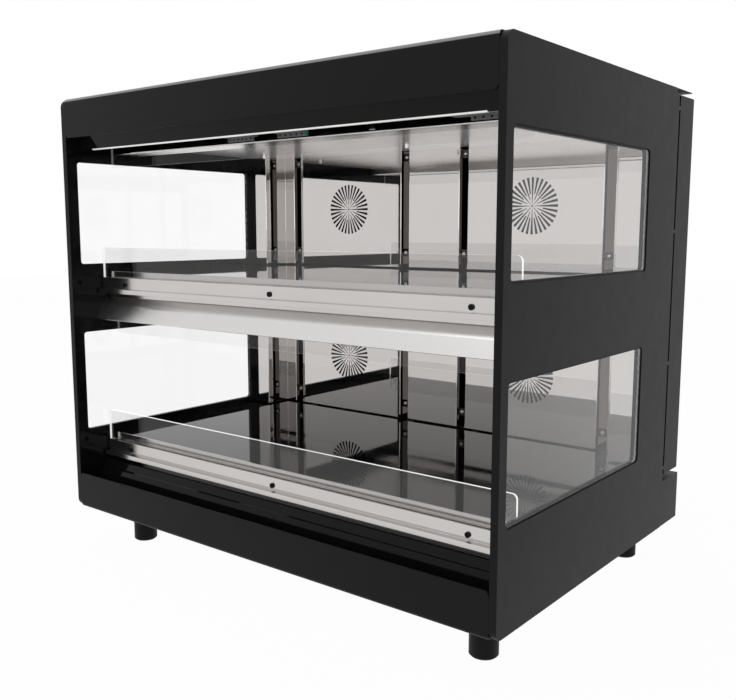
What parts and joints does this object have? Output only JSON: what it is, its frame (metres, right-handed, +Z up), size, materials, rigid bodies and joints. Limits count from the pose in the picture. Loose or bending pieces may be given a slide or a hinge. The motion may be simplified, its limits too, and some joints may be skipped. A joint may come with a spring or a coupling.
{
  "type": "countertop heated display",
  "caption": "Open-front heated counter display with two glass shelves, mirror back wall, fan grilles and side windows",
  "frame": {"origin": "middle of the footprint at counter level, under the legs", "axes": "+Z up, +X to the right seen from the front, the open front faces -Y"},
  "size_m": [0.851, 0.62, 0.77],
  "materials": {
    "painted_sheet": "matt fine texture",
    "gloss_black": "high gloss",
    "mirror_steel": "mirror polish",
    "satin_steel": "satin galvanised",
    "rail_aluminium": "bright",
    "clear_glass": "clear",
    "deck_glass": "black ceramic glass",
    "black_plastic": "moulded",
    "grey_plastic": "moulded",
    "steel_hardware": "plated",
    "black_screw": "black oxide",
    "heater_mat": "silicone",
    "plenum_sheet": "matt black"
  },
  "bodies": {
    "housing": {"baffle_screws": "steel_hardware", "baffle_standoffs": "steel_hardware", "base_pan": "satin_steel", "bottom_fascia": "painted_sheet", "cable_gland": "black_plastic", "canopy_plate": "gloss_black", "ceiling_sheet": "satin_steel", "centre_mirrors": "mirror_steel", "control_box": "painted_sheet", "control_box_lid": "painted_sheet", "deck_heaters": "heater_mat", "fan_motors": "steel_hardware", "hanging_glass_clips": "rail_aluminium", "left_mirror_pilasters": "mirror_steel", "left_side_liner": "gloss_black", "left_side_panel": "painted_sheet", "left_window_glasses": "clear_glass", "leg_nuts": "steel_hardware", "legs": "black_plastic", "light_bars": "rail_aluminium", "lower_deck_glass": "deck_glass", "lower_front_rail": "rail_aluminium", "lower_guard_glass": "clear_glass", "lower_hanging_glass": "clear_glass", "lower_left_baffle": "mirror_steel", "lower_light_trough": "satin_steel", "lower_right_baffle": "mirror_steel", "plenum_back": "plenum_sheet", "plinth_plate": "gloss_black", "rail_clamp_screws": "black_screw", "rear_cover": "painted_sheet", "rear_side_screws": "steel_hardware", "right_mirror_pilasters": "mirror_steel", "right_side_liner": "gloss_black", "right_side_panel": "painted_sheet", "right_window_glasses": "clear_glass", "ring_heaters": "steel_hardware", "roof_cover": "painted_sheet", "shelf_reflector": "satin_steel", "switch_housings": "black_plastic", "terminal_blocks": "grey_plastic", "terminal_rail": "satin_steel", "thermostats": "grey_plastic", "top_fascia": "painted_sheet", "upper_deck_glass": "deck_glass", "upper_front_rail": "rail_aluminium", "upper_guard_glass": "clear_glass", "upper_hanging_glass": "clear_glass", "upper_left_baffle": "mirror_steel", "upper_light_trough": "satin_steel", "upper_right_baffle": "mirror_steel", "upper_shelf_body": "satin_steel"},
    "lower_left_fan": {"lower_left_fan": "steel_hardware"},
    "lower_right_fan": {"lower_right_fan": "steel_hardware"},
    "upper_left_fan": {"upper_left_fan": "steel_hardware"},
    "upper_right_fan": {"upper_right_fan": "steel_hardware"},
    "upper_thermostat_knob": {"upper_thermostat_knob": "black_plastic"},
    "lower_thermostat_knob": {"lower_thermostat_knob": "black_plastic"},
    "power_switch_rocker": {"power_switch_rocker": "black_plastic"},
    "light_switch_rocker": {"light_switch_rocker": "black_plastic"}
  },
  "joints": [
    {"name": "lower_left_fan_spin", "type": "hinge", "parent": "housing", "child": "lower_left_fan", "pos_m": [-0.201, 0.209, 0.3045], "axis": [0, 1, 0], "continuous": true},
    {"name": "lower_right_fan_spin", "type": "hinge", "parent": "housing", "child": "lower_right_fan", "pos_m": [0.201, 0.209, 0.3045], "axis": [0, 1, 0], "continuous": true},
    {"name": "upper_left_fan_spin", "type": "hinge", "parent": "housing", "child": "upper_left_fan", "pos_m": [-0.201, 0.209, 0.5945], "axis": [0, 1, 0], "continuous": true},
    {"name": "upper_right_fan_spin", "type": "hinge", "parent": "housing", "child": "upper_right_fan", "pos_m": [0.201, 0.209, 0.5945], "axis": [0, 1, 0], "continuous": true},
    {"name": "upper_thermostat_knob_turn", "type": "hinge", "parent": "housing", "child": "upper_thermostat_knob", "pos_m": [0.25, 0.296, 0.108], "axis": [0, 1, 0], "range_deg": [0, 270]},
    {"name": "lower_thermostat_knob_turn", "type": "hinge", "parent": "housing", "child": "lower_thermostat_knob", "pos_m": [0.17, 0.296, 0.108], "axis": [0, 1, 0], "range_deg": [0, 270]},
    {"name": "power_switch_rocker_tilt", "type": "hinge", "parent": "housing", "child": "power_switch_rocker", "pos_m": [0.33, 0.284, 0.108], "axis": [1, 0, 0], "range_deg": [-16, 0]},
    {"name": "light_switch_rocker_tilt", "type": "hinge", "parent": "housing", "child": "light_switch_rocker", "pos_m": [0.3, 0.284, 0.108], "axis": [1, 0, 0], "range_deg": [-16, 0]}
  ]
}
